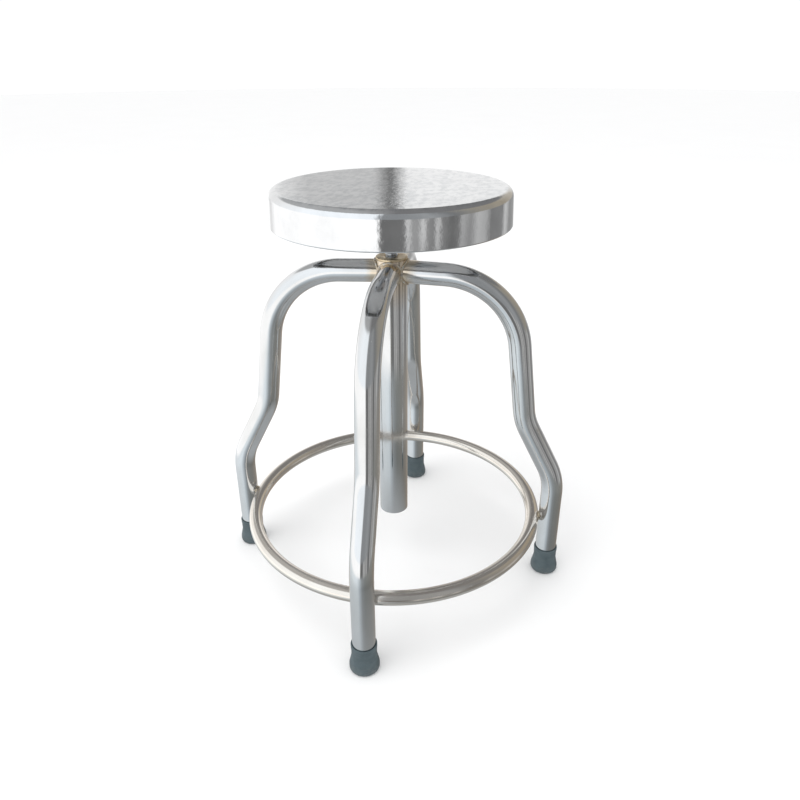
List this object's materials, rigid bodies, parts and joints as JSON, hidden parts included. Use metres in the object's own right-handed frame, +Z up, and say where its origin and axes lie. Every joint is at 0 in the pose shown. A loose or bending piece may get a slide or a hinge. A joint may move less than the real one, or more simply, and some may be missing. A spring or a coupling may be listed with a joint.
{
  "type": "revolving screw-lift stool",
  "caption": "Polished steel clinic stool: a round seat pan on a threaded spindle that winds up and down in a centre tube with bent tube legs, a foot ring and rubber feet.",
  "frame": {"origin": "on the floor, on the axis of the spindle and the centre tube", "axes": "+Z up along the spindle; the four legs point along +X, +Y, -X and -Y"},
  "size_m": [0.5, 0.5, 0.56],
  "materials": {
    "tube_steel": "polished stainless steel tube",
    "pan_steel": "mirror polished stainless steel sheet",
    "spindle_steel": "turned steel thread with a film of grease",
    "plain_steel": "bright zinc plated steel",
    "dark_steel": "blackened steel fasteners",
    "weld_bead": "brushed weld with heat tint",
    "nut_brass": "turned brass",
    "bush_nylon": "natural nylon",
    "plywood": "unfinished plywood",
    "foot_rubber": "matt moulded rubber"
  },
  "bodies": {
    "frame": {"centre_tube": "tube_steel", "tube_end_plug": "plain_steel", "lift_nut": "nut_brass", "leg_right": "tube_steel", "leg_back": "tube_steel", "leg_left": "tube_steel", "leg_front": "tube_steel", "leg_welds": "weld_bead", "foot_ring": "tube_steel", "ring_welds": "weld_bead", "foot_right": "foot_rubber", "foot_back": "foot_rubber", "foot_left": "foot_rubber", "foot_front": "foot_rubber", "foot_washers": "plain_steel"},
    "guide": {"guide_bush": "bush_nylon"},
    "seat": {"spindle": "spindle_steel", "stop_washer": "plain_steel", "spring_washer": "dark_steel", "stop_bolt": "dark_steel", "seat_flange": "plain_steel", "spindle_weld": "weld_bead", "backing_board": "plywood", "flange_screws": "dark_steel", "flange_washers": "plain_steel", "pan_clips": "plain_steel", "clip_screws": "dark_steel", "seat_pan": "pan_steel"}
  },
  "joints": [
    {"name": "lift_slide", "type": "slide", "parent": "frame", "child": "guide", "axis": [0, 0, 1], "range_m": [-0.012, 0.2]},
    {"name": "seat_turn", "type": "hinge", "parent": "guide", "child": "seat", "pos_m": [0, 0, 0.5], "axis": [0, 0, 1], "range_deg": [-1080, 18000]}
  ],
  "couplings": [
    {"joint": "lift_slide", "follows": "seat_turn", "m_per_rad": 0.00063662}
  ]
}
